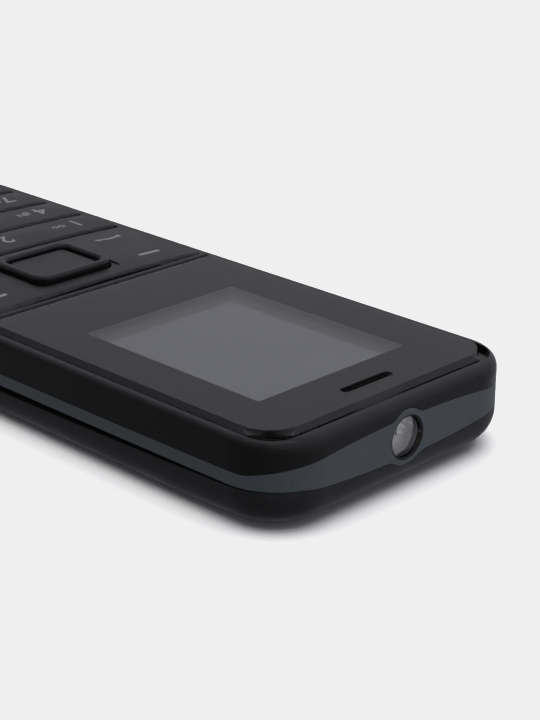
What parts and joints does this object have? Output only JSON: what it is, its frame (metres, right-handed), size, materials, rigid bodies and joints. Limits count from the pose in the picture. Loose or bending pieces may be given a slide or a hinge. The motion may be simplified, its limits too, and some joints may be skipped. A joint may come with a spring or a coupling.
{
  "type": "bar mobile phone",
  "caption": "Bar phone with a small display, keypad bars, a five-way key, an end torch, a grey waist band and a battery behind a lift-off back cover.",
  "frame": {"origin": "middle of the footprint on the surface that the phone's back lies on", "axes": "+X to the phone's right seen from the front, +Y towards the end with the torch, +Z out of the display"},
  "size_m": [0.0484, 0.124, 0.0151],
  "materials": {
    "shell_gloss_black": "polished black moulding",
    "lens_black_mask": "clear acrylic printed black on the back",
    "clear_plastic": "clear moulded lens",
    "band_satin_grey": "satin metallic grey paint on plastic",
    "cover_satin_black": "fine satin black",
    "housing_black": "black glass-filled plastic",
    "key_satin_black": "satin lacquered key tops with pale legends",
    "silicone_grey": "translucent grey silicone",
    "rubber_black": "black rubber",
    "board_green": "green solder mask",
    "display_glass": "dark glossy display glass",
    "frame_white": "white backlight frame",
    "flex_amber": "amber polyimide",
    "sheet_clear": "clear film over metal domes",
    "glue_black": "black adhesive tape",
    "steel": "stamped nickel-plated steel",
    "chrome_reflector": "bright metallised cup",
    "gold_contacts": "gold-plated contact",
    "battery_shell": "plain foil-wrapped aluminium can",
    "led_clear": "clear light with a pale yellow core",
    "foil_copper": "copper foil on film"
  },
  "bodies": {
    "phone_body": {"front_shell": "shell_gloss_black", "side_band": "band_satin_grey", "rear_housing": "housing_black", "display_lens": "lens_black_mask", "lens_adhesive": "glue_black", "earpiece_mesh": "steel", "earpiece_receiver": "steel", "lcd_panel": "display_glass", "lcd_backlight_frame": "frame_white", "lcd_flex": "flex_amber", "main_board": "board_green", "dome_sheet": "sheet_clear", "keypad_mat": "silicone_grey", "battery_connector": "housing_black", "battery_blades": "gold_contacts", "torch_lens": "clear_plastic", "torch_reflector": "chrome_reflector", "torch_led": "led_clear", "micro_usb_socket": "steel", "headphone_jack": "housing_black", "microphone_boot": "rubber_black", "microphone": "steel", "sim_holder": "steel", "memory_card_slot": "steel", "shield_can": "steel", "antenna_flex": "foil_copper", "housing_screws": "steel", "loudspeaker": "steel", "speaker_gasket": "rubber_black", "camera_module": "housing_black", "vibration_motor": "steel", "motor_boot": "rubber_black"},
    "cover_body": {"back_cover": "cover_satin_black", "camera_window": "clear_plastic"},
    "battery_body": {"battery": "battery_shell", "battery_pads": "gold_contacts"},
    "function_plate_body": {"function_plate": "key_satin_black"},
    "nav_ring_body": {"nav_ring": "key_satin_black"},
    "ok_key_body": {"ok_key": "key_satin_black"},
    "key_row_1_body": {"key_row_1": "key_satin_black"},
    "key_row_2_body": {"key_row_2": "key_satin_black"},
    "key_row_3_body": {"key_row_3": "key_satin_black"},
    "key_row_4_body": {"key_row_4": "key_satin_black"},
    "weight_body": {"vibration_weight": "steel"}
  },
  "joints": [
    {"name": "back_cover_lift", "type": "slide", "parent": "phone_body", "child": "cover_body", "axis": [0, 0, -1], "range_m": [0, 0.024]},
    {"name": "battery_lift", "type": "slide", "parent": "phone_body", "child": "battery_body", "axis": [0, 0, -1], "range_m": [0, 0.0097]},
    {"name": "function_plate_press", "type": "slide", "parent": "phone_body", "child": "function_plate_body", "axis": [0, 0, -1], "range_m": [0, 0.0003], "stiffness_N_per_m": 300},
    {"name": "nav_ring_rock", "type": "hinge", "parent": "phone_body", "child": "nav_ring_body", "pos_m": [0, -0.0104, 0.01145], "axis": [1, 0, 0], "range_deg": [-2.5, 2.5], "stiffness_Nm_per_rad": 0.05},
    {"name": "ok_key_press", "type": "slide", "parent": "phone_body", "child": "ok_key_body", "axis": [0, 0, -1], "range_m": [0, 0.0003], "stiffness_N_per_m": 300},
    {"name": "key_row_1_press", "type": "slide", "parent": "phone_body", "child": "key_row_1_body", "axis": [0, 0, -1], "range_m": [0, 0.0003], "stiffness_N_per_m": 300},
    {"name": "key_row_2_press", "type": "slide", "parent": "phone_body", "child": "key_row_2_body", "axis": [0, 0, -1], "range_m": [0, 0.0003], "stiffness_N_per_m": 300},
    {"name": "key_row_3_press", "type": "slide", "parent": "phone_body", "child": "key_row_3_body", "axis": [0, 0, -1], "range_m": [0, 0.0003], "stiffness_N_per_m": 300},
    {"name": "key_row_4_press", "type": "slide", "parent": "phone_body", "child": "key_row_4_body", "axis": [0, 0, -1], "range_m": [0, 0.0003], "stiffness_N_per_m": 300},
    {"name": "vibration_weight_spin", "type": "hinge", "parent": "phone_body", "child": "weight_body", "pos_m": [0.0136, -0.0439, 0.0044], "axis": [1, 0, 0], "continuous": true}
  ],
  "couplings": [
    {"joint": "battery_lift", "follows": "back_cover_lift", "ratio": 0.4}
  ]
}
